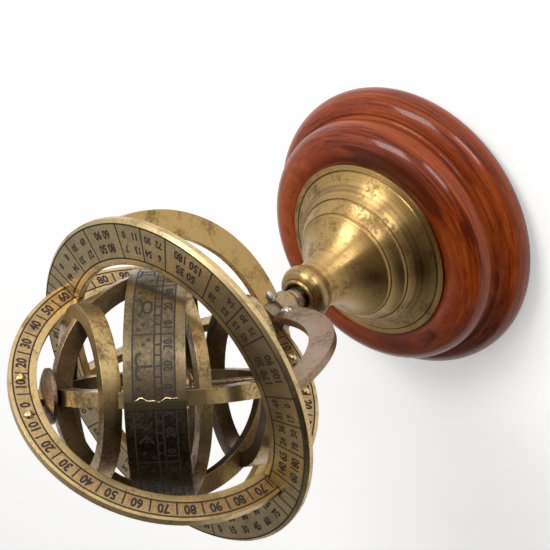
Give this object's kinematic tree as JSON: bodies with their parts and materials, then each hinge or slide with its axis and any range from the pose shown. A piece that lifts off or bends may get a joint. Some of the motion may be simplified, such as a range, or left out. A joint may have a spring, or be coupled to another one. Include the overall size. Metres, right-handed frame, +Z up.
{
  "type": "armillary sphere",
  "caption": "Desk armillary sphere: nested brass rings and zodiac band turning inside a tilting meridian ring and a fixed horizon ring, on a turned wooden base.",
  "frame": {"origin": "centre of the underside of the felt pad, on the table surface", "axes": "+Z up along the stem; the meridian ring lies in the XZ plane and its graduated face looks along -Y; the polar axis leans towards +X"},
  "size_m": [0.088, 0.088, 0.1392],
  "materials": {
    "antique_brass": "brushed, aged",
    "etched_brass": "etched, dark-filled lines",
    "dark_brass": "aged, brushed",
    "copper_bronze": "dark copper patina",
    "steel": "plain",
    "varnished_wood": "gloss varnish",
    "felt": "felt"
  },
  "bodies": {
    "stand": {"felt_pad": "felt", "wooden_base": "varnished_wood", "base_bolt": "steel", "base_washer": "steel", "brass_foot": "antique_brass", "stem_collar": "antique_brass", "stem_lip_ring": "antique_brass", "stem_spindle": "copper_bronze", "hub": "antique_brass", "cradle_arm_front_left": "antique_brass", "cradle_arm_front_right": "antique_brass", "cradle_arm_back_right": "antique_brass", "cradle_arm_back_left": "antique_brass", "horizon_ring": "etched_brass"},
    "meridian": {"meridian_ring": "etched_brass", "meridian_rivets": "antique_brass", "pole_bracket_north": "antique_brass", "pole_bracket_south": "antique_brass", "pole_cap_north": "copper_bronze", "pole_cap_south": "copper_bronze", "polar_axle": "antique_brass", "earth_globe": "antique_brass"},
    "inner_sphere": {"colure_solstice": "dark_brass", "colure_equinox_east": "dark_brass", "colure_equinox_west": "dark_brass", "equator_ring": "dark_brass", "parallel_ring_north": "dark_brass", "parallel_ring_south": "dark_brass", "zodiac_band": "etched_brass"}
  },
  "joints": [
    {"name": "meridian_tilt", "type": "hinge", "parent": "stand", "child": "meridian", "pos_m": [0, 0, 0.101], "axis": [0, 1, 0], "range_deg": [-8, 42]},
    {"name": "sphere_spin", "type": "hinge", "parent": "meridian", "child": "inner_sphere", "pos_m": [0, 0, 0.101], "axis": [0.5075, 0, 0.8616], "continuous": true}
  ]
}
